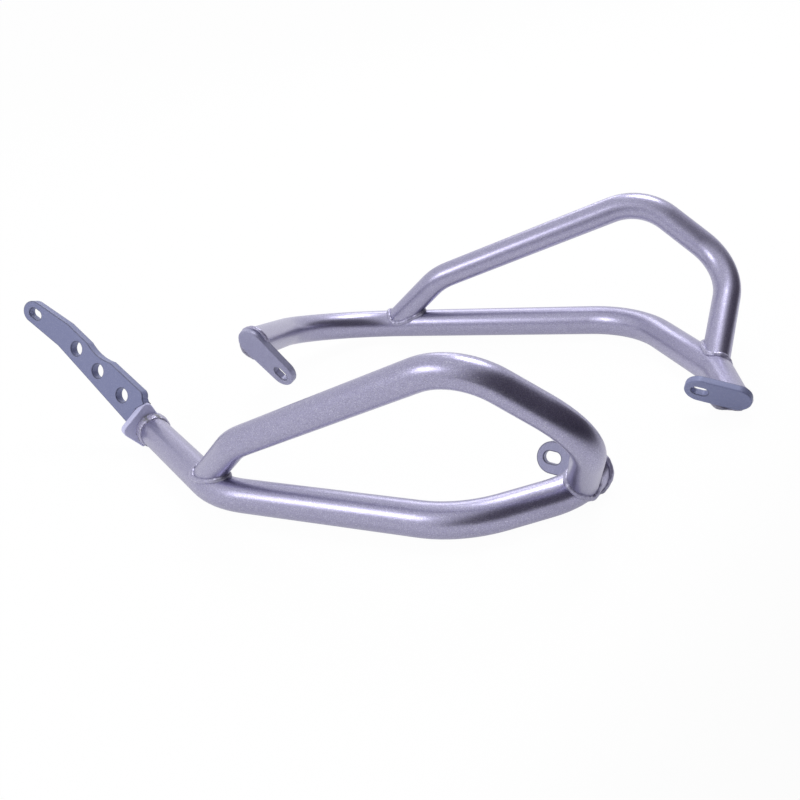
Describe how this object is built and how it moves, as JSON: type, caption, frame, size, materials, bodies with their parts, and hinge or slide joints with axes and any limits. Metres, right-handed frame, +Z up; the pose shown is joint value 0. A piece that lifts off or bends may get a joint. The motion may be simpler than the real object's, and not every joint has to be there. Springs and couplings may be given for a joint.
{
  "type": "motorcycle crash bars",
  "caption": "Pair of welded tubular motorcycle crash bars: bent main tubes with raised hoops, slotted mounting plates and a drilled rear bracket.",
  "frame": {"origin": "bottom centre of the pair's bounding box, on the floor it lies on", "axes": "+X towards the front of the motorcycle along the pair's length, +Y towards its left, +Z up from the floor"},
  "size_m": [0.6022, 0.38, 0.1429],
  "materials": {
    "powder_coat": "silver metallic powder coat over welded steel"
  },
  "bodies": {
    "root": {"right_main_tube": "powder_coat", "right_hoop_tube": "powder_coat", "right_rear_end_plate": "powder_coat", "right_rear_bracket": "powder_coat", "right_front_plate": "powder_coat", "right_hoop_rear_weld": "powder_coat", "right_hoop_front_weld": "powder_coat", "right_rear_end_weld": "powder_coat", "right_bracket_weld": "powder_coat", "right_front_plate_weld": "powder_coat", "left_main_tube": "powder_coat", "left_hoop_tube": "powder_coat", "left_rear_plate": "powder_coat", "left_front_plate": "powder_coat", "left_hoop_rear_weld": "powder_coat", "left_hoop_front_weld": "powder_coat", "left_rear_plate_weld": "powder_coat", "left_front_plate_weld": "powder_coat"}
  },
  "joints": []
}
